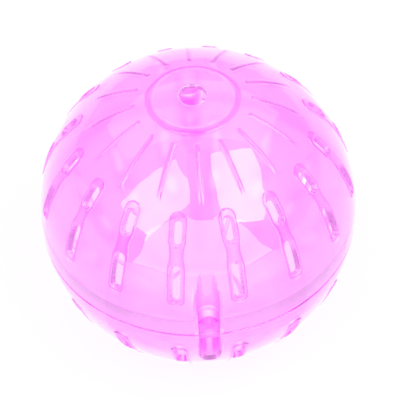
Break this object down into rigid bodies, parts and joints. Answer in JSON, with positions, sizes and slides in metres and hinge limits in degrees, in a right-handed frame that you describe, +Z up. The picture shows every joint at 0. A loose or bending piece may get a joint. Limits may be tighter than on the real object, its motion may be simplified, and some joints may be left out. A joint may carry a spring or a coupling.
{
  "type": "hamster ball",
  "caption": "Clear pink plastic ball in two half shells that push together, with slotted air vents, ribs and a hole at each pole.",
  "frame": {"origin": "middle of the ball", "axes": "+Z up along the line through both pole holes, from the lower shell to the upper; -Y towards the front release latch"},
  "size_m": [0.1, 0.1, 0.0996],
  "materials": {
    "clear_pink_plastic": "clear tinted polystyrene, see-through and glossy"
  },
  "bodies": {
    "lower": {"lower_shell": "clear_pink_plastic"},
    "upper": {"upper_shell": "clear_pink_plastic"}
  },
  "joints": [
    {"name": "shell_pull_off", "type": "slide", "parent": "lower", "child": "upper", "axis": [0, 0, 1], "range_m": [0, 0.12]}
  ]
}
